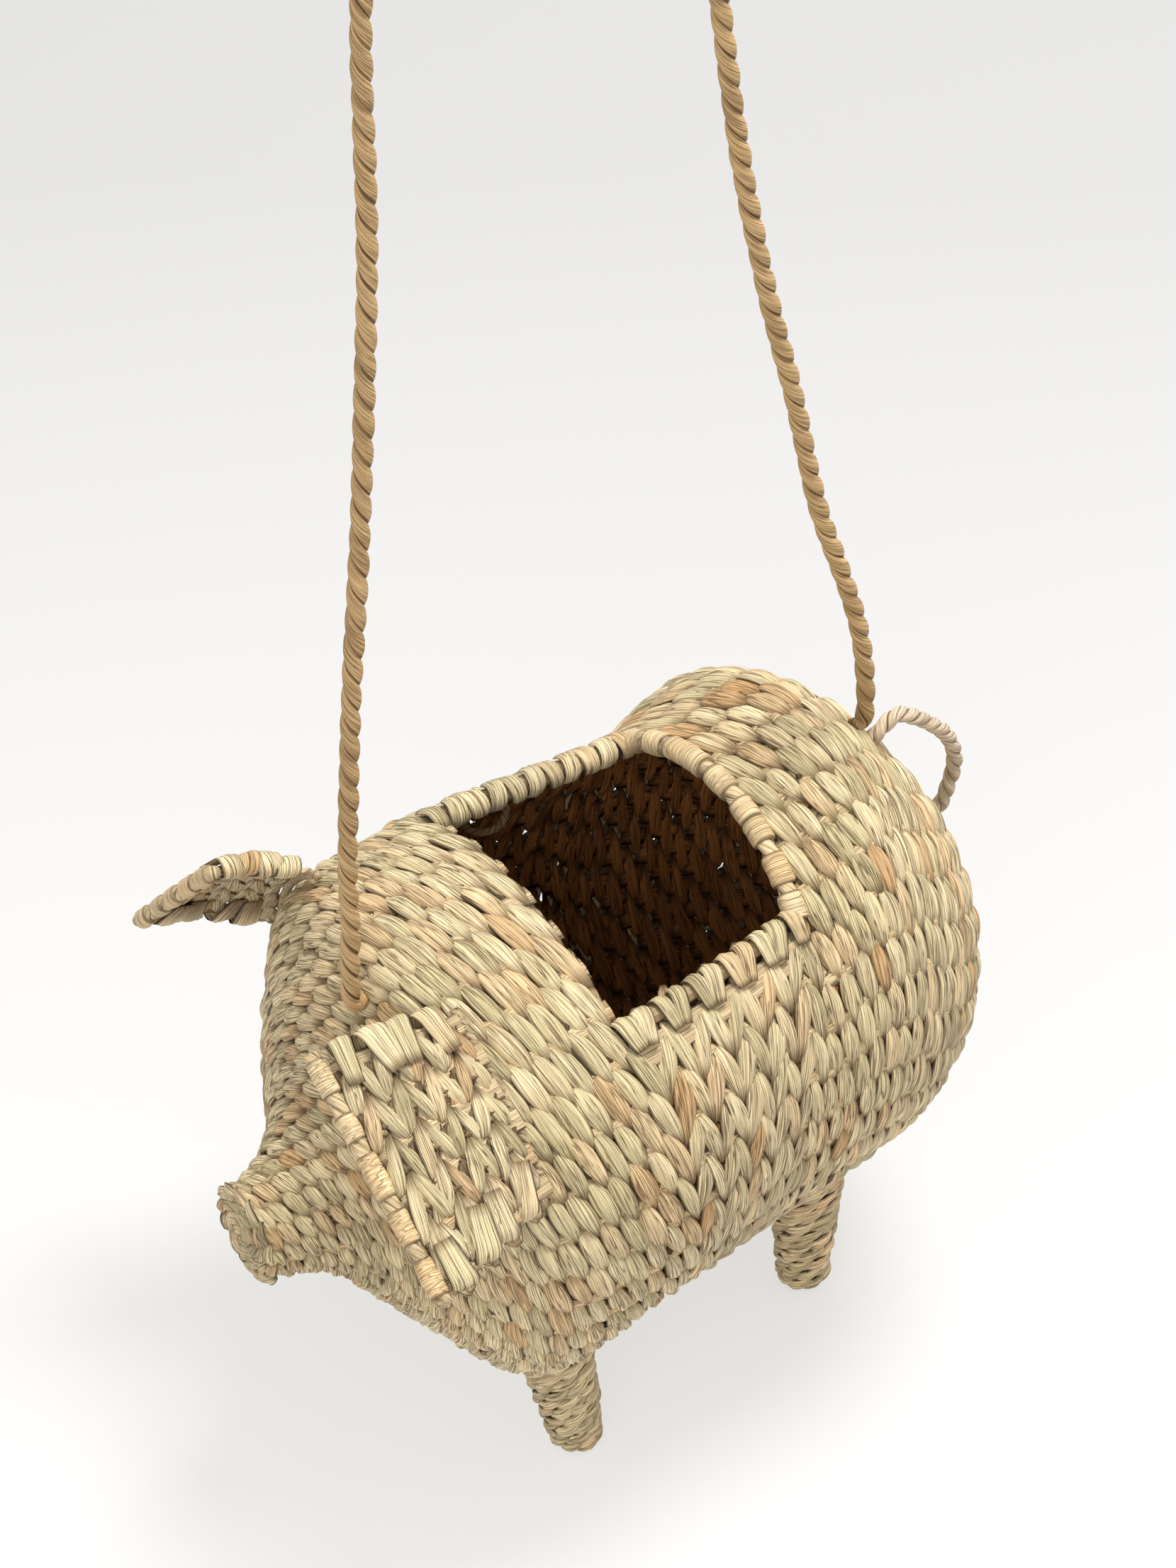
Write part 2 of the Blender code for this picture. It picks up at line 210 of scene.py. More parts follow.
def on_body(u, angle):
    """Points on the smooth body: u counts the sections, angle is in degrees from the top to +Y."""
    u, angle = np.broadcast_arrays(np.asarray(u, float), np.radians(angle))
    x, z, tilt, half_width, half_height = np.moveaxis(catmull_rom(SECTIONS, u), -1, 0)
    tilt = np.radians(tilt)
    up = np.cos(angle) * half_height
    return np.stack((x - up * np.sin(tilt), half_width * np.sin(angle), z + up * np.cos(tilt)), -1) * MM


def body_axes(u, angle):
    """Unit vectors on the body: towards the rump, towards +Y over the top, and outwards."""
    along = unit(on_body(u + 0.02, angle) - on_body(u - 0.02, angle))
    around = unit(on_body(u, angle + 0.5) - on_body(u, angle - 0.5))
    return along, around, unit(np.cross(along, around))


def body_point(u, angle, lift=0.0):
    return on_body(u, angle) + body_axes(u, angle)[2] * lift


def row_table():
    """Row numbers at both ends of the body and of the opening, and at each section of a table."""
    u = np.linspace(0.0, LAST_SECTION, 800)
    steps = np.linalg.norm(np.diff(on_body(u, ROW_LINE_ANGLE), axis=0), axis=-1)
    spacing = np.interp(u[1:], ROW_SECTIONS, ROW_SPACINGS_MM) * MM
    counted = np.concatenate(([0.0], np.cumsum(steps / spacing)))
    start, front, rear, end = np.interp((0.0, FRONT_EDGE, REAR_EDGE, LAST_SECTION), u, counted)
    knots = np.cumsum((0, round(front), OPENING_ROWS, round(end - rear)))
    return knots, u, np.interp(counted, (start, front, rear, end), knots)


ROW_KNOTS, TABLE_U, TABLE_ROWS = row_table()


def row_section(row):
    """The section at a row number, which may be a fraction."""
    return np.interp(row, TABLE_ROWS, TABLE_U)


def body_surface(row, angle):
    return on_body(row_section(row), angle)


# ---------------------------------------------------------------- leaves

def lay_leaves(surface, row, place, lift, width, height, out=1.0, roll=0.0):
    """Leaves along paths on a surface. All arrays are leaves by steps; out is which side is up."""
    step = 0.02
    inside = np.maximum(row, step)
    across = surface(inside + step, place) - surface(inside - step, place)
    along = surface(row, place + step) - surface(row, place - step)
    normal = unit(np.cross(across, along)) * out
    centre = surface(row, place) + normal * lift[..., None]
    return frame_leaves(centre, normal, width, height, roll)


def frame_leaves(centre, normal, width, height, roll=0.0):
    """Turn leaf paths into their centres, side and upward vectors, half widths and heights."""
    tangent = unit(np.gradient(centre, axis=1))
    side = unit(np.cross(normal, tangent))
    up = np.cross(tangent, side)
    turn = (np.zeros(centre.shape[:2]) + roll)[..., None]
    turned = side * np.cos(turn) + up * np.sin(turn)
    return centre, turned, np.cross(tangent, turned), width, height


def swell(t, peak, start_power, end_power):
    """From 0 at t = 0 to 1 at the peak and back to 0 at t = 1."""
    rise = np.sin(np.minimum(t / peak, 1.0) * math.pi / 2) ** start_power
    fall = np.cos(np.clip((t - peak) / (1.0 - peak), 0.0, 1.0) * math.pi / 2) ** end_power
    return np.where(t < peak, rise, fall)


def twine(surface, rows, places, pitches, slants, lift, out=1.0, plump=1.0, loose=1.0,
          slant=SLANT, half_width=LEAF_WIDTH, dive=0.28):
    """One stitch of a twined weave at each row and place. A leaf comes up narrow between two
    warps, widens as it passes over the next and dives under its blunt end, slanting as it goes."""
    count = len(rows)
    t = (np.linspace(0.0, 1.0, LEAF_STEPS) ** 0.92)[None, :]
    s = 2.0 * t - 1.0
    vary = random.normal(0.0, 1.0, (count, 7, 1)) * loose
    length = REACH * (1.0 + 0.06 * vary[:, 0])
    sideways = slants[:, None] * slant * (1.0 + 0.10 * vary[:, 1])
    row = rows[:, None] + sideways * s + 0.035 * vary[:, 2]
    place = places[:, None] + pitches[:, None] * (length * s + 0.05 * vary[:, 3])
    spacing = surface(rows + 0.5, places) - surface(rows - 0.5, places)
    spacing = np.linalg.norm(spacing, axis=-1)[:, None]
    shape = 0.30 + 0.70 * swell(t, 0.62 + 0.05 * np.tanh(vary[:, 4]), 0.95, 0.5)
    bow = swell(t, 0.66, 0.75, 0.55)
    width = spacing * half_width * shape * (1.0 + 0.06 * vary[:, 5])
    height = spacing * (0.12 + 0.24 * bow) * (1.0 + 0.10 * vary[:, 6]) * plump
    sink = dive * spacing * (1.0 - bow)
    roll = -slants[:, None] * out * 0.36 * s + 0.12 * vary[:, 4]
    return lay_leaves(surface, row, place, lift - sink, width, height, out, roll)


def warps(surface, rows, places, half_width, lift):
    """Short stretches of warp, across the rows at each place."""
    s = np.linspace(-1.0, 1.0, 4)[None, :]
    row = rows[:, None] + WARP_REACH * s
    place = places[:, None] + 0.0 * s
    width = half_width[:, None] + 0.0 * s
    return lay_leaves(surface, row, place, lift + 0.0 * row, width, 0.0 * row + 1.3 * MM)


def fold(point, away, normal, along, radius, reach, half_width, lean):
    """Leaves folded over an edge. The path runs up one face, round the edge and down the other."""
    s = np.linspace(-1.0, 1.0, LEAF_STEPS)[None, :, None]
    turn = np.clip(s / 0.42, -1.0, 1.0) * math.pi / 2
    run = np.maximum(np.abs(s) - 0.42, 0.0) / 0.58
    away = away[:, None]
    normal = normal[:, None]
    along = along[:, None]
    path = point[:, None] + away * (radius * np.cos(turn) - reach * run)
    path = path - normal * (radius - 0.6 * MM * run) * np.sin(turn) + along * lean[:, None, None] * s
    up = away * np.cos(turn) - normal * np.sin(turn)
    shape = (0.72 + 0.28 * np.cos(s[..., 0] * math.pi / 2)) * (1.0 + 0.0 * lean[:, None])
    return frame_leaves(path, up, half_width[:, None] * shape, 1.5 * MM * shape)


def join(*batches):
    return tuple(np.concatenate(parts) for parts in zip(*batches))


def leaf_section(top, bottom):
    """Outline of a leaf's cross-section: a domed top and a shallow underside."""
    upper = -np.cos(np.linspace(0.0, math.pi, top))
    lower = np.linspace(1.0, -1.0, bottom + 2)[1:-1]
    across = np.concatenate((upper, lower))
    up = np.concatenate(((1.0 - upper ** 2) ** 0.8, -0.35 * (1.0 - lower ** 2)))
    return across, up


def leaf_points(leaves, top, bottom):
    """Points of the leaves with their creases, and each point's place along and across its leaf."""
    centre, side, up, width, height = leaves
    count, steps = width.shape
    across, dome = leaf_section(top, bottom)
    phase = random.uniform(0.0, 2 * math.pi, (count, 3, 1))
    waves = np.sin(across * 3.1 + phase[:, 0]) * 0.5 + np.sin(across * 6.3 + phase[:, 1]) * 0.4
    waves = waves - np.abs(np.sin(across * 5.0 + phase[:, 2])) ** 6 * 0.8
    grooves = 0.20 * waves * (dome > 0.05)
    rise = height[..., None] * (dome + grooves[:, None, :])
    spread = width[..., None] * across
    points = centre[:, :, None] + side[:, :, None] * spread[..., None] + up[:, :, None] * rise[..., None]
    uv = np.empty(points.shape[:3] + (2,))
    uv[..., 0] = np.linspace(0.0, 1.0, steps)[None, :, None]
    uv[..., 1] = (across + 1.0) / 2
    return points, uv


def tubes_mesh(name, points, uv, tones, mat, body="basket"):
    """One mesh of closed tubes. points is tubes by rings by points of a ring."""
    count, rings, around = points.shape[:3]
    index = np.arange(count * rings * around).reshape(count, rings, around)
    a = index[:, :-1]
    b = index[:, 1:]
    quads = np.stack((a, b, np.roll(b, -1, 2), np.roll(a, -1, 2)), -1).reshape(-1, 4)
    caps = np.concatenate((index[:, 0], index[:, -1, ::-1]))
    corners = np.concatenate((quads.ravel(), caps.ravel()))
    sizes = np.concatenate((np.full(len(quads), 4), np.full(len(caps), around)))
    mesh = bpy.data.meshes.new(name)
    mesh.vertices.add(index.size)
    mesh.vertices.foreach_set("co", points.astype(np.float32).ravel())
    mesh.loops.add(len(corners))
    mesh.loops.foreach_set("vertex_index", corners.astype(np.int32))
    mesh.polygons.add(len(sizes))
    starts = np.concatenate(([0], np.cumsum(sizes)[:-1]))
    mesh.polygons.foreach_set("loop_start", starts.astype(np.int32))
    mesh.update(calc_edges=True)
    mesh.validate()
    layer = mesh.uv_layers.new(name="leaf")
    layer.data.foreach_set("uv", uv.reshape(-1, 2)[corners].astype(np.float32).ravel())
    tone = mesh.attributes.new("tone", "FLOAT", "POINT")
    tone.data.foreach_set("value", np.repeat(tones, rings * around).astype(np.float32))
    mesh.shade_smooth()
    mesh.materials.append(mat)
    obj = bpy.data.objects.new(name, mesh)
    bpy.context.scene.collection.objects.link(obj)
    if body:
        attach(obj, body)
    return obj


def leaf_pieces(name, leaves, mat, top=11, bottom=2, most=480, tones=None):
    """The leaves as pieces of at most this many leaves each, so that no piece is too heavy."""
    points, uv = leaf_points(leaves, top, bottom)
    if tones is None:
        tones = random.uniform(0.0, 1.0, len(points))
    parts = math.ceil(len(points) / most)
    pieces = []
    for i, (p, q, t) in enumerate(zip(*(np.array_split(x, parts) for x in (points, uv, tones)))):
        pieces.append(tubes_mesh(f"{name}_{i + 1}", p, q, t, mat))
    return pieces


# ---------------------------------------------------------------- ropes and bands

def resample(points, step):
    """Points a step apart along a polyline."""
    points = np.asarray(points, float)
    length = np.concatenate(([0.0], np.cumsum(np.linalg.norm(np.diff(points, axis=0), axis=-1))))
    count = max(4, round(length[-1] / step) + 1)
    at = np.linspace(0.0, length[-1], count)
    return np.stack([np.interp(at, length, points[:, k]) for k in range(3)], -1), at


def ring_frames(path, hint):
    """Unit tangents of a path and two vectors across it; hint is a direction it doesn't follow."""
    tangent = unit(np.gradient(path, axis=0))
    first = unit(np.cross(tangent, hint))
    return tangent, first, np.cross(first, tangent)


def sweep(path, hint, radius, turn=None):
    """Rings round a path. radius is rings by points of a ring."""
    angle = np.linspace(0.0, 2 * math.pi, radius.shape[1], endpoint=False)[None, :]
    _, first, second = ring_frames(path, hint)
    spin = angle if turn is None else angle + turn[:, None]
    reach = radius[..., None]
    return path[:, None] + (first[:, None] * np.cos(spin)[..., None]
                            + second[:, None] * np.sin(spin)[..., None]) * reach


def rope(name, route, hint, radius, lay, mat, body="basket", step=1.1 * MM, points=24):
    """A two-ply rope: its cross-section has two lobes, and turns once for each lay."""
    path, at = resample(route, step)
    angle = np.linspace(0.0, 2 * math.pi, points, endpoint=False)[None, :]
    from_crest = np.abs((angle + math.pi / 2) % math.pi - math.pi / 2)
    drift = np.sin(at / lay * 1.7)[:, None] * 0.5 + np.sin(at / lay * 4.3 + 1.0)[:, None] * 0.5
    profile = 0.66 + 0.34 * np.cos(from_crest) ** 0.6 + 0.03 * drift
    turn = 2 * math.pi * at / lay
    rings = sweep(path, hint, radius * profile, turn)
    uv = np.empty(rings.shape[:2] + (2,))
    uv[..., 0] = (at / lay)[:, None]
    uv[..., 1] = 0.5 + from_crest / math.pi
    obj = tubes_mesh(name, rings[None], uv[None], np.array([0.5]), mat, body)
    return obj, path


def wraps(name, route, hint, radius, count, cover, mat):
    """Flat leaves wound round a cord, as bands with gaps between them."""
    path, _ = resample(route, 0.5 * MM)
    bands = []
    around = 20
    angle = np.linspace(0.0, 2 * math.pi, around, endpoint=False)[None, :]
    s = np.linspace(-1.0, 1.0, 9)[:, None]
    for i in range(count):
        half = cover * (1.0 + 0.12 * random.normal()) / 2
        middle = (i + 0.5) / count + 0.01 * random.normal()
        at = np.clip(middle + s[:, 0] * half / count, 0.0, 1.0) * (len(path) - 1)
        line = np.stack([np.interp(at, np.arange(len(path)), path[:, k]) for k in range(3)], -1)
        bulge = 1.08 + 0.10 * (1.0 - s ** 8) + 0.03 * np.sin(3 * angle + random.uniform(0, 6))
        ripple = 0.025 * np.sin(5.0 * s + random.uniform(0, 6)) + 0.02 * np.sin(5 * angle + 3 * s)
        bands.append(sweep(line, hint, radius * (bulge + ripple)))
    points = np.stack(bands)
    uv = np.empty(points.shape[:3] + (2,))
    uv[..., 0] = (1.0 + np.cos(angle)) / 2
    uv[..., 1] = ((s + 1.0) / 2)[None]
    return tubes_mesh(name, points, uv, random.uniform(0.0, 1.0, count), mat)


# ---------------------------------------------------------------- materials

def link(tree, start, end):
    tree.links.new(start, end)


def math_node(tree, operation, a, b=0.0):
    node = tree.nodes.new("ShaderNodeMath")
    node.operation = operation
    for socket, value in zip(node.inputs, (a, b)):
        if isinstance(value, (int, float)):
            socket.default_value = value
        else:
            link(tree, value, socket)
    return node.outputs[0]


def ramp(tree, value, stops):
    node = tree.nodes.new("ShaderNodeValToRGB")
    elements = node.color_ramp.elements
    while len(elements) < len(stops):
        elements.new(0.5)
    for element, (position, colour) in zip(elements, stops):
        element.position = position
        element.color = (*colour, 1.0)
    link(tree, value, node.inputs[0])
    return node.outputs[0]


def mix(tree, factor, a, b, mode="MIX"):
    node = tree.nodes.new("ShaderNodeMix")
    node.data_type = "RGBA"
    node.blend_type = mode
    for socket, value in ((node.inputs[0], factor), (node.inputs[6], a), (node.inputs[7], b)):
        if isinstance(value, (int, float)):
            socket.default_value = value
        elif isinstance(value, tuple):
            socket.default_value = (*value, 1.0)
        else:
            link(tree, value, socket)
    return node.outputs[2]


def streaks(tree, along, across, seed, stretch, detail):
    """Noise drawn out along the leaf."""
    combine = tree.nodes.new("ShaderNodeCombineXYZ")
    link(tree, math_node(tree, "MULTIPLY", along, stretch[0]), combine.inputs[0])
    link(tree, math_node(tree, "MULTIPLY", across, stretch[1]), combine.inputs[1])
    link(tree, math_node(tree, "MULTIPLY", seed, 97.0), combine.inputs[2])
    noise = tree.nodes.new("ShaderNodeTexNoise")
    noise.inputs["Scale"].default_value = 1.0
    noise.inputs["Detail"].default_value = detail
    link(tree, combine.outputs[0], noise.inputs["Vector"])
    return noise.outputs["Fac"]


def thin_lines(tree, noise, width):
    """Thin lines, white on black, where the noise passes through its middle value."""
    distance = math_node(tree, "ABSOLUTE", math_node(tree, "SUBTRACT", noise, 0.5))
    return ramp(tree, distance, ((0.0, (1.0, 1.0, 1.0)), (width, (0.0, 0.0, 0.0))))


def brown_side_and_shade_mask(tree, across):
    """White at both long sides of a leaf, where its own brown and the painted shade between leaves go.
    """
    off_middle = math_node(tree, "ABSOLUTE", math_node(tree, "SUBTRACT", across, 0.5))
    return ramp(tree, off_middle, ((0.40, (0.0, 0.0, 0.0)), (0.49, (1.0, 1.0, 1.0))))


def leaf_material(name, colours, crease_shade, side_brown_and_shade=DARK_BROWN_AND_GAP_SHADE, roughness=0.56, creases=1.0,
                  along_scale=1.0, edge=0.9, tucked_shade=0.75):
    """Dry leaf: a colour for each leaf, fine fibres, dark creases along it and dark long sides. The dark
    creases are partly the leaf's own darker folds and partly painted shade in its grooves; the dark
    long sides are partly the leaf's own brown and partly painted shade in the gaps between leaves.
    The ends that go in under other leaves are given the creases' colour as painted shade."""
    mat = bpy.data.materials.new(name)
    mat.use_nodes = True
    tree = mat.node_tree
    shader = tree.nodes["Principled BSDF"]
    coords = tree.nodes.new("ShaderNodeUVMap")
    coords.uv_map = "leaf"
    split = tree.nodes.new("ShaderNodeSeparateXYZ")
    link(tree, coords.outputs[0], split.inputs[0])
    along, across = split.outputs[0], split.outputs[1]
    tone = tree.nodes.new("ShaderNodeAttribute")
    tone.attribute_name = "tone"
    seed = tone.outputs["Fac"]
    fibre = streaks(tree, along, across, seed, (1.2 * along_scale, 34.0), 2.0)
    wide = streaks(tree, along, across, seed, (0.7 * along_scale, 6.0), 1.0)
    fine = streaks(tree, along, across, seed, (0.9 * along_scale, 15.0), 1.0)
    patch = streaks(tree, along, across, seed, (3.0 * along_scale, 2.0), 2.0)
    base = ramp(tree, seed, colours)
    base = mix(tree, 0.5, base, ramp(tree, patch, BLOTCHES), "MULTIPLY")
    base = mix(tree, 0.5, base, ramp(tree, fibre, FIBRES), "MULTIPLY")
    wide_lines = thin_lines(tree, wide, 0.030)
    fine_lines = thin_lines(tree, fine, 0.045)
    # Crease lines along the leaf, darkened partly as its own folds and partly as painted shade in the
    # grooves.
    base = mix(tree, math_node(tree, "MULTIPLY", fine_lines, 0.55 * creases), base, crease_shade)
    base = mix(tree, math_node(tree, "MULTIPLY", wide_lines, 0.90 * creases), base, crease_shade)
    # Painted shade at the ends that go in under other leaves.
    if tucked_shade:
        ends = ramp(tree, along, TUCKED_IN_SHADE)
        base = mix(tree, math_node(tree, "MULTIPLY", ends, tucked_shade), base, crease_shade)
    # Darken the long sides of each leaf: partly its own brown, partly painted shade in the gaps between
    # leaves; on the ropes, painted shade in the grooves between the plies.
    base = mix(tree, math_node(tree, "MULTIPLY", brown_side_and_shade_mask(tree, across), edge), base, side_brown_and_shade)
    link(tree, base, shader.inputs["Base Color"])
    shader.inputs["Roughness"].default_value = roughness
    shader.inputs["Specular IOR Level"].default_value = 0.35
    grooves = math_node(tree, "ADD", math_node(tree, "MULTIPLY", wide_lines, -0.9),
                        math_node(tree, "MULTIPLY", fine_lines, -0.45))
    height = math_node(tree, "ADD", grooves, math_node(tree, "MULTIPLY", fibre, 0.9))
    bump = tree.nodes.new("ShaderNodeBump")
    bump.inputs["Strength"].default_value = 1.0
    bump.inputs["Distance"].default_value = 0.7 * MM
    link(tree, height, bump.inputs["Height"])
    link(tree, bump.outputs[0], shader.inputs["Normal"])
    return mat


def straw_material():
    """Cut straw ends and stems, for the cores of the legs."""
    mat = bpy.data.materials.new("straw")
    mat.use_nodes = True
    tree = mat.node_tree
    shader = tree.nodes["Principled BSDF"]
    coords = tree.nodes.new("ShaderNodeTexCoord")
    cells = tree.nodes.new("ShaderNodeTexVoronoi")
    cells.inputs["Scale"].default_value = 420.0
    link(tree, coords.outputs["Object"], cells.inputs["Vector"])
    tint = ramp(tree, cells.outputs["Distance"], ((0.0, (0.20, 0.13, 0.05)), (0.5, (0.66, 0.50, 0.26))))
    link(tree, tint, shader.inputs["Base Color"])
    shader.inputs["Roughness"].default_value = 0.7
    bump = tree.nodes.new("ShaderNodeBump")
    bump.inputs["Distance"].default_value = 0.5 * MM
    link(tree, cells.outputs["Distance"], bump.inputs["Height"])
    link(tree, bump.outputs[0], shader.inputs["Normal"])
    return mat


# ---------------------------------------------------------------- the body's weave

def girth_at(u):
    ring = on_body(u, np.linspace(0.0, 360.0, 73))
    return np.linalg.norm(np.diff(ring, axis=0), axis=-1).sum()


def body_rows():
    """For each leaf of the body: its row, angle, pitch in degrees, slant, and 1 in the Vs."""
    stitches = []
    first_open, last_open = ROW_KNOTS[1], ROW_KNOTS[2]
    open_span = 360.0 - 2 * RIM_ANGLE - 5.0
    for row in range(ROW_KNOTS[-1]):
        is_open = first_open <= row < last_open
        u = 0.5 * (FRONT_EDGE + REAR_EDGE) if is_open else row_section(row + 0.5)
        pitch = np.interp(u, STITCH_SECTIONS, STITCH_PITCHES_MM) * MM
        count = max(4, round(girth_at(u) / pitch))
        if is_open:
            count = round(count * open_span / 360.0)
            step = open_span / count
            start = RIM_ANGLE + 2.5 + step / 2
        else:
            step = 360.0 / count
            start = WARP_LINE_ANGLE + random.normal(0.0, 0.06) * step
        slant = 1.0 if is_open and row % 2 == 0 else -1.0
        for k in range(count):
            stitches.append((row + 0.5, start + k * step, step, slant, float(is_open)))
    return np.array(stitches).T


def painted_inner_light(places):
    """Tones of leaves inside as painted shade and painted light: brown low down, and paler near the rim
    and towards the front, where light would reach.
    """
    height = np.clip((places[:, 2] - 0.45 * places[:, 0] - 0.168) / 0.06, 0.0, 1.0)
    return 0.7 * height + random.uniform(0.0, 0.3, len(places))


def weave_body(leaf, inner, pale):
    rows, angles, pitches, slants, in_vs = body_rows()
    travel = np.where(in_vs > 0, V_SLANT, SLANT)[:, None]
    lift = np.where((in_vs > 0) & (slants < 0), -1.9 * MM, -2.4 * MM)[:, None]
    outside = twine(body_surface, rows, angles, pitches, slants, lift, slant=travel)
    pieces = leaf_pieces("body_leaves", outside, leaf)
    inside = twine(body_surface, rows, angles + pitches / 2, pitches, -slants, 3.9 * MM, out=-1.0,
                   half_width=0.46, dive=0.14)
    leaf_pieces("inner_leaves", inside, inner, top=5, bottom=1,
                tones=painted_inner_light(body_surface(rows, angles + pitches / 2)))
    place = angles + pitches * WARP_OFFSET
    length = np.linalg.norm(body_surface(rows, place + 0.5) - body_surface(rows, place - 0.5), axis=-1)
    half_width = 0.24 * pitches * length
    closed = random.uniform(0.0, 1.0, len(rows)) > PINHOLES
    rows, place, half_width = rows[closed], place[closed], half_width[closed]
    stretches = warps(body_surface, rows, place, half_width, -3.2 * MM)
    leaf_pieces("warps", stretches, pale, top=3, bottom=1, most=2000)
    backs = warps(body_surface, rows, place, 0.8 * half_width, -4.9 * MM)
    leaf_pieces("inner_warps", backs, inner, top=3, bottom=1, most=2000,
                tones=painted_inner_light(body_surface(rows, place)))
    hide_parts("woven_body")


def snout_disc(leaf):
    """The flat end of the snout: rings of small stitches round its middle."""
    rim = on_body(0.0, np.linspace(0.0, 360.0, 37))
    middle = rim[:-1].mean(0)

    def surface(row, angle):
        ring = on_body(0.0, angle)
        bulge = 2.0 * MM * np.minimum(row / SNOUT_RINGS, 1.0)
        flat = middle + (ring - middle) * (1.0 - row / SNOUT_RINGS)[..., None]
        return flat + np.array((-1.0, 0.0, 0.0)) * bulge[..., None]

    rows, angles, pitches = [], [], []
    for row, count in ((0.35, 13), (1.25, 9), (2.1, 6), (2.9, 3)):
        for k in range(count):
            rows.append(row)
            angles.append(360.0 * (k + 0.5 * row) / count)
            pitches.append(360.0 / count)
    batch = (np.array(rows), np.array(angles), np.array(pitches), -np.ones(len(rows)))
    leaves = twine(surface, *batch, -1.0 * MM, out=-1.0, loose=0.6)
    leaf_pieces("snout_leaves", leaves, leaf)


def side_rims(leaf, pale):
    """At each side of the opening the strands turn back over a straight stake."""
    for side, name in ((-1, "left"), (1, "right")):
        rows = ROW_KNOTS[1] + 0.35 + np.arange(OPENING_ROWS) * (OPENING_ROWS - 0.4) / OPENING_ROWS
        u = row_section(rows)
        angle = side * RIM_ANGLE
        along, around, normal = body_axes(u, angle)
        away = -around * side
        centre = on_body(u, angle) - normal * WALL / 2 + away * (STAKE_RADIUS + 0.4 * MM)
        count = len(rows)
        half = 3.9 * MM * (1.0 + 0.14 * random.normal(size=count))
        lean = 2.4 * MM * np.where(np.arange(count) % 2, 1.0, -1.0) * side
        loops = fold(centre, away, -normal, along, STAKE_RADIUS + 1.1 * MM, 9.0 * MM, half, lean)
        leaf_pieces(name + "_rim_loops", loops, leaf)
        band_u = np.linspace(FRONT_EDGE + 0.05, REAR_EDGE - 0.1, 40)
        for depth, layer in ((4.2, "upper"), (9.6, "lower")):
            turn = math.degrees(depth * MM / 0.105) * side
            band = body_point(band_u, angle + turn, -1.4 * MM)[None]
            up = body_axes(band_u, angle + turn)[2][None]
            strip = frame_leaves(band, up, np.full((1, 40), 3.0 * MM), np.full((1, 40), 1.2 * MM))
            leaf_pieces(f"{name}_rim_band_{layer}", strip, pale, top=5, bottom=1)
        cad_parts[name + "_rim_stake"].data.materials.clear()
        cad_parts[name + "_rim_stake"].data.materials.append(pale)


def rear_rim(wrap, pale):
    angles = np.linspace(-RIM_ANGLE + 1.0, RIM_ANGLE - 1.0, 40)
    along, _, normal = body_axes(np.full(40, REAR_EDGE), angles)
    route = on_body(REAR_EDGE, angles) - normal * WALL / 2 - along * (RIM_CORD_RADIUS + 0.6 * MM)
    hint = np.array((1.0, 0.0, 0.1))
    cord, _ = rope("rear_rim_cord", route, hint, RIM_CORD_RADIUS * 0.92, 30 * MM, pale)
    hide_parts("rear_rim_binding")
    wraps("rear_rim_wraps", route, hint, RIM_CORD_RADIUS, 9, 0.76, wrap)


# ---------------------------------------------------------------- ears

def ear_parts(name):
    """The surface function of an ear, its point function, its upward normal and its lengths."""
    (upper, lower), corners = EARS[name]
    free = np.array(corners) * MM

    def root(across):
        return body_point(EAR_SECTION, upper + (lower - upper) * across, EAR_LIFT)

    def tip(across):
        return free[0] + (free[1] - free[0]) * across[..., None]

    middle = np.array(0.5)
    forward = tip(middle) - root(middle)
    normal = unit(np.cross(forward, free[1] - free[0]))
    normal = normal * np.sign(normal[2])

    def point(across, distance):
        across, distance = np.broadcast_arrays(np.asarray(across, float), np.asarray(distance, float))
        start, end = tip(across), root(across)
        reach = np.linalg.norm(end - start, axis=-1)
        t = distance / reach
        bulge = EAR_CAMBER * np.sin(math.pi * np.clip(t, 0.0, 1.0))
        return start + (end - start) * t[..., None] + normal * bulge[..., None]

    def reach(across):
        return np.linalg.norm(root(across) - tip(across), axis=-1)

    def surface(row, across):
        row, across = np.broadcast_arrays(row, across)
        first = 2 * EAR_CORD_RADIUS
        return point(across, first + (reach(across) - first) * row / EAR_ROWS)

    return surface, point, normal, reach


def ear_edge_folds(point, reach, normal, end, count):
    """Broad leaves folded over the upper or lower edge of an ear."""
    across = np.full(count, float(end))
    distance = 9.0 * MM + (reach(np.array(float(end))) - 14.0 * MM) * (np.arange(count) + 0.5) / count
    edge = point(across, distance)
    inner = point(across + (0.05 if end == 0 else -0.05), distance)
    away = unit(edge - inner)
    along = unit(point(across, distance + 1.0 * MM) - edge)
    normals = np.repeat(normal[None], count, 0)
    half = 5.6 * MM * (1.0 + 0.14 * random.normal(size=count))
    lean = np.where(np.arange(count) % 2, 3.2, -2.4) * MM
    return fold(edge - away * 1.5 * MM, away, -normals, along, 3.6 * MM, 15.0 * MM, half, lean)


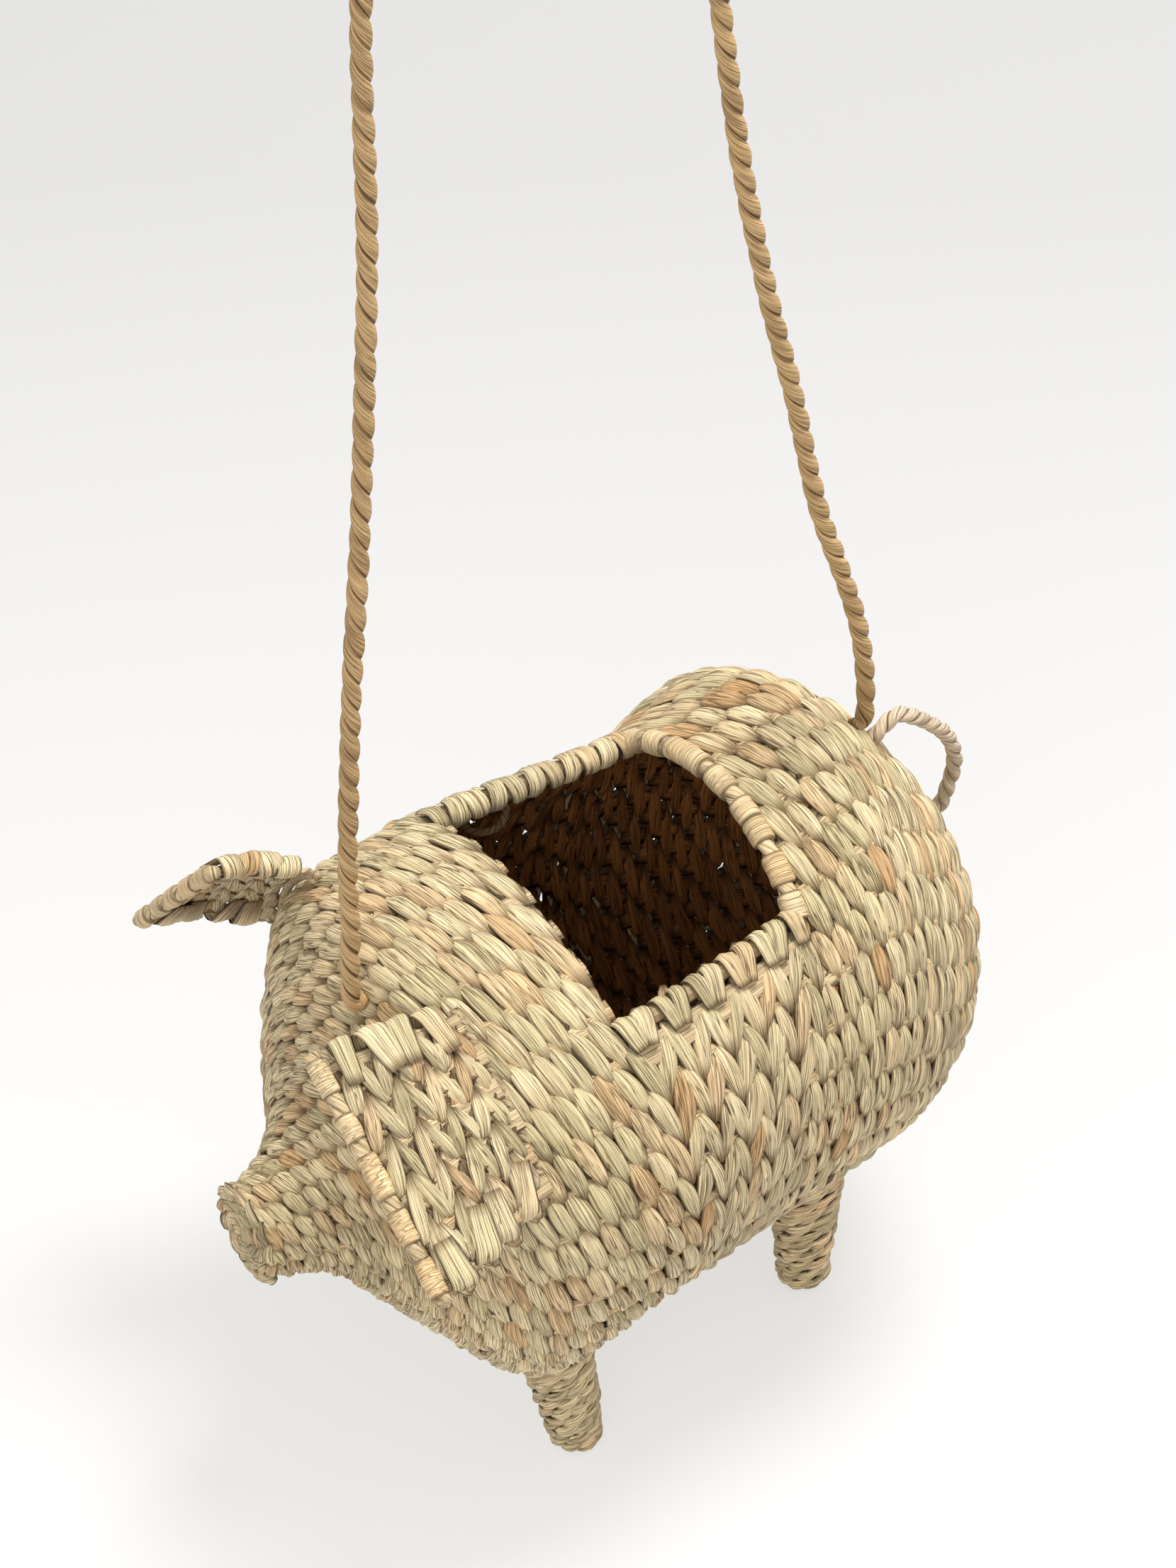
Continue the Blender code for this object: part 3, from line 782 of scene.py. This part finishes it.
def ear(name, leaf, pale, wrap):
    surface, point, normal, reach = ear_parts(name)
    rows, places, slants = [], [], []
    for row in range(EAR_ROWS):
        for k in range(EAR_STITCHES):
            rows.append(row + 0.5)
            places.append(0.06 + 0.88 * (k + 0.5) / EAR_STITCHES)
            slants.append(1.0 if row % 2 else -1.0)
    rows, places, slants = (np.array(x) for x in (rows, places, slants))
    pitches = np.full(len(rows), 0.88 / EAR_STITCHES)
    probe = surface(np.array(3.0), np.array(0.5))
    across = surface(np.array(3.1), np.array(0.5)) - probe
    along = surface(np.array(3.0), np.array(0.51)) - probe
    out = float(np.sign(np.cross(across, along) @ normal))
    lift = np.where(slants < 0, 1.1 * MM, 0.5 * MM)[:, None]
    upper = twine(surface, rows, places, pitches, slants, lift, out=out, loose=1.3, slant=V_SLANT)
    under = twine(surface, rows, places + pitches / 2, pitches, -slants, 0.4 * MM, out=-out,
                  plump=0.7)
    folds = [ear_edge_folds(point, reach, normal, end, count) for end, count in ((0, 4), (1, 4))]
    pieces = leaf_pieces(name + "_ear_leaves", join(upper, under, *folds), leaf)
    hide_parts(name + "_ear")
    bands = 0.06 + 0.88 * (np.arange(EAR_STITCHES + 1) + 0.5 + WARP_OFFSET) / EAR_STITCHES
    s = np.linspace(0.0, 1.0, 14)[None, :]
    row = EAR_ROWS * (1.0 + 0.10 * random.uniform(0.3, 1.0, (len(bands), 1))) * s
    place = bands[:, None] + 0.0 * s
    flat = np.full(place.shape, 4.4 * MM)
    lift = np.where(s > 0.93, 1.6 * MM, -0.4 * MM) + 0.0 * place
    strips = lay_leaves(surface, row, place, lift, flat, 0.25 * flat, out)
    leaf_pieces(name + "_ear_warps", strips, pale, top=5, bottom=1)
    edge_route = point(np.linspace(-0.01, 1.01, 30), EAR_CORD_RADIUS)
    cord, _ = rope(name + "_ear_cord", edge_route, normal, EAR_CORD_RADIUS * 0.82, 26 * MM, pale)
    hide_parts(name + "_ear_edge")
    wraps(name + "_ear_wraps", edge_route, normal, EAR_CORD_RADIUS * 0.86, 5, 0.62, wrap)
    upper_angle, lower_angle = EARS[name][0]
    angles = np.linspace(upper_angle, lower_angle, 24)
    seam = body_point(np.full(24, EAR_SECTION + 0.05), angles, 2.2 * MM)
    stitch, _ = rope(name + "_ear_seam", seam, np.array((0.0, 0.3, 1.0)), 1.9 * MM, 7 * MM, pale,
                     points=12)
    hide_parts(name + "_ear_lashing")


# ---------------------------------------------------------------- legs

def closed_body_tree():
    u = np.linspace(0.0, LAST_SECTION, 66)[:, None]
    angle = np.linspace(0.0, 360.0, 73)[None, :]
    points = on_body(u, angle)
    rows, columns = points.shape[:2]
    corners = []
    for i in range(rows - 1):
        for j in range(columns - 1):
            at = i * columns + j
            corners.append((at, at + 1, at + columns + 1, at + columns))
    return BVHTree.FromPolygons([tuple(p) for p in points.reshape(-1, 3)], corners)


def leg(name, belly, leaf, straw):
    """A cone of small stitches from the foot to the belly, round the straw core."""
    (foot_x, foot_y), lean = LEGS[name]
    foot = np.array((foot_x * MM, foot_y * MM, 0.0))
    axis = np.array((lean, 0.0, 1.0))
    angles = np.linspace(0.0, 360.0, 25)
    spoke = np.stack((np.cos(np.radians(angles)), np.sin(np.radians(angles)), 0.0 * angles), -1)
    bottom = foot + axis * FOOT_CLEARANCE + spoke * (FOOT_RADIUS - 0.5 * MM)
    top = []
    for start, way in zip(bottom, unit(axis + spoke * LEG_TAPER)):
        top.append(belly.ray_cast(Vector(start), Vector(way))[0])
    top = np.array(top)
    count = round(np.linalg.norm(top - bottom, axis=-1).mean() / LEG_ROW)

    def surface(row, angle):
        row, angle = np.broadcast_arrays(row, np.mod(angle, 360.0))
        low = np.stack([np.interp(angle, angles, bottom[:, k]) for k in range(3)], -1)
        high = np.stack([np.interp(angle, angles, top[:, k]) for k in range(3)], -1)
        return low + (high - low) * (row / count)[..., None]

    rows, places, slants = [], [], []
    for row in range(count):
        for k in range(LEG_STITCHES):
            rows.append(row + 0.5)
            places.append(360.0 * (k + 0.5 * (row % 2)) / LEG_STITCHES)
            slants.append(1.0)
    pitches = np.full(len(rows), 360.0 / LEG_STITCHES)
    batch = (np.array(rows), np.array(places), pitches, np.array(slants))
    leaves = twine(surface, *batch, -0.9 * MM, out=-1.0)
    pieces = leaf_pieces(name + "_leg_leaves", leaves, leaf, top=7, bottom=1)
    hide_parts(name + "_leg")
    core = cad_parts[name + "_leg_core"]
    core.data.materials.clear()
    core.data.materials.append(straw)


# ---------------------------------------------------------------- ropes

def in_plane(route, y):
    return [(x * MM, y, z * MM) for x, z in route]


def smooth_route(points, count):
    return catmull_rom(points, np.linspace(0.0, len(points) - 1.0, count))


def strap(mat):
    front = body_point(STRAP_FRONT, 0.0, -1.0 * MM)
    rear = body_point(STRAP_REAR, 0.0, -1.0 * MM)
    route = [tuple(front), tuple(body_point(STRAP_FRONT, 0.0, STRAP_LIFT))]
    route += in_plane(STRAP_ROUTE, 0.0)
    route += [tuple(body_point(STRAP_REAR, 0.0, STRAP_LIFT)), tuple(rear)]
    line = smooth_route(route, 300)
    obj, path = rope("strap_rope", line, np.array((0.0, 1.0, 0.0)), ROPE_RADIUS * 1.04, ROPE_LAY, mat,
                     body=None, step=1.0 * MM)
    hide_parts("strap")
    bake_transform(obj)


def tail(mat):
    aside = np.array((0.0, TAIL_Y, 0.0))
    route = [body_point(TAIL_UPPER, 0.0, lift * MM) + aside for lift in (-1.0, 6.0)]
    route += [np.array(p) for p in in_plane(TAIL_ROUTE, TAIL_Y)]
    route += [body_point(TAIL_LOWER, 0.0, lift * MM) + aside for lift in (6.0, -1.0)]
    obj, _ = rope("tail_rope", smooth_route(route, 80), np.array((0.0, 1.0, 0.0)), TAIL_RADIUS, TAIL_LAY,
                  mat, step=0.8 * MM)
    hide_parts("tail_loop")


def closure_loop(mat):
    along, _, normal = body_axes(LOOP_SECTION, LOOP_ANGLE)
    base = on_body(LOOP_SECTION, LOOP_ANGLE) - normal * (WALL + LOOP_RADIUS)
    angle = np.linspace(0.0, math.pi, 30)[:, None]
    route = base + along * np.cos(angle) * 10 * MM - normal * np.sin(angle) * 9 * MM
    obj, _ = rope("closure_rope", route, np.cross(along, normal), LOOP_RADIUS, 6 * MM, mat,
                  step=0.6 * MM, points=12)
    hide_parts("closure_loop")


def knots(rope_mat, tail_mat):
    """The knots inside the wall keep their CAD shape."""
    for name, mat in (("strap_front_knot", rope_mat), ("strap_rear_knot", rope_mat),
                      ("tail_upper_knot", tail_mat), ("tail_lower_knot", tail_mat)):
        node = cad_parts[name]
        node.data.materials.clear()
        node.data.materials.append(mat)


# ---------------------------------------------------------------- stage

def camera():
    sight = Vector((math.sin(CAMERA_AZIMUTH) * math.cos(CAMERA_ELEVATION),
                    -math.cos(CAMERA_AZIMUTH) * math.cos(CAMERA_ELEVATION),
                    math.sin(CAMERA_ELEVATION)))
    right = Vector((math.cos(CAMERA_AZIMUTH), math.sin(CAMERA_AZIMUTH), 0.0))
    up = sight.cross(right)
    data = bpy.data.cameras.new("camera")
    data.lens = CAMERA_LENS_MM
    data.sensor_width = 36.0
    data.clip_end = 50.0
    obj = bpy.data.objects.new("camera", data)
    turn = Matrix((right, up, sight)).transposed().to_4x4()
    obj.matrix_world = Matrix.Translation(CAMERA_PLACE) @ turn
    bpy.context.scene.collection.objects.link(obj)
    bpy.context.scene.camera = obj


def floor_glow(tree):
    """The floor is a pale light table, a little dimmer behind the basket."""
    place = tree.nodes.new("ShaderNodeTexCoord")
    split = tree.nodes.new("ShaderNodeSeparateXYZ")
    link(tree, place.outputs["Object"], split.inputs[0])
    behind = math_node(tree, "ADD", math_node(tree, "MULTIPLY", split.outputs[0], 0.54),
                       math_node(tree, "MULTIPLY", split.outputs[1], 0.84))
    fade = tree.nodes.new("ShaderNodeMapRange")
    fade.inputs["From Min"].default_value = -0.15
    fade.inputs["From Max"].default_value = 0.75
    fade.inputs["To Min"].default_value = 0.66
    fade.inputs["To Max"].default_value = 0.40
    link(tree, behind, fade.inputs["Value"])
    return fade.outputs[0]


def floor():
    mesh = bpy.data.meshes.new("floor")
    half = 6.0
    corners = [(-half, -half, 0), (half, -half, 0), (half, half, 0), (-half, half, 0)]
    mesh.from_pydata(corners, [], [(0, 1, 2, 3)])
    mat = bpy.data.materials.new("floor")
    mat.use_nodes = True
    tree = mat.node_tree
    shader = tree.nodes["Principled BSDF"]
    shader.inputs["Base Color"].default_value = (0.24, 0.238, 0.234, 1.0)
    shader.inputs["Emission Color"].default_value = (1.0, 0.99, 0.975, 1.0)
    link(tree, floor_glow(tree), shader.inputs["Emission Strength"])
    shader.inputs["Roughness"].default_value = 0.9
    mesh.materials.append(mat)
    obj = bpy.data.objects.new("floor", mesh)
    bpy.context.scene.collection.objects.link(obj)


def area_light(name, place, target, size, power):
    data = bpy.data.lights.new(name, "AREA")
    data.shape = "DISK"
    data.size = size
    data.energy = power
    obj = bpy.data.objects.new(name, data)
    obj.location = place
    obj.rotation_euler = (Vector(target) - Vector(place)).to_track_quat("-Z", "Y").to_euler()
    bpy.context.scene.collection.objects.link(obj)


def lights():
    world = bpy.data.worlds.new("world")
    world.use_nodes = True
    world.node_tree.nodes["Background"].inputs[0].default_value = (1.0, 0.995, 0.985, 1.0)
    world.node_tree.nodes["Background"].inputs[1].default_value = 0.70
    bpy.context.scene.world = world
    bpy.context.scene.view_settings.view_transform = "Standard"
    area_light("key", (0.70, 0.05, 2.5), (0.0, 0.0, 0.1), 1.0, 64.0)
    area_light("fill", (-1.8, -1.8, 1.9), (0.0, 0.0, 0.1), 2.0, 24.0)


def build():
    camera()
    floor()
    lights()
    # The third colour of each leaf material is painted shade in its creases and under its ends, partly
    # the leaves' own darker folds.
    leaf = leaf_material("leaf", LEAF_COLOURS, CREASE_SHADE_COLOUR)
    # The inner leaves are coloured dark brown as painted shade of the inside.
    inner = leaf_material("inner_leaf_painted_shade", INNER_SHADE_AND_GLOW_COLOURS, DARK_BROWN_AND_GAP_SHADE, roughness=0.75)
    pale = leaf_material("pale_leaf", PALE_COLOURS, CREASE_SHADE_COLOUR, creases=0.35, edge=0.4, tucked_shade=0.0)
    wrap = leaf_material("wrap", PALE_COLOURS, CREASE_SHADE_COLOUR, creases=0.25, edge=0.7, tucked_shade=0.0)
    leg_leaf = leaf_material("leg_leaf", LEG_COLOURS, (0.17, 0.10, 0.04))
    rope_mat = leaf_material("rope", ROPE_COLOURS, (0.34, 0.18, 0.07), ROPE_GROOVE_SHADE, creases=0.6,
                             along_scale=0.8, tucked_shade=0.0)
    tail_mat = leaf_material("tail", TAIL_COLOURS, (0.45, 0.27, 0.13), ROPE_GROOVE_SHADE, creases=0.3,
                             along_scale=0.8, edge=0.75, tucked_shade=0.0)
    strap(rope_mat)
    tail(tail_mat)
    weave_body(leaf, inner, pale)
    snout_disc(leaf)
    side_rims(leaf, pale)
    rear_rim(wrap, pale)
    for name in EARS:
        ear(name, leaf, pale, wrap)
    belly = closed_body_tree()
    straw = straw_material()
    for name in LEGS:
        leg(name, belly, leg_leaf, straw)
    closure_loop(rope_mat)
    knots(rope_mat, tail_mat)


build()
bpy.context.view_layer.update()
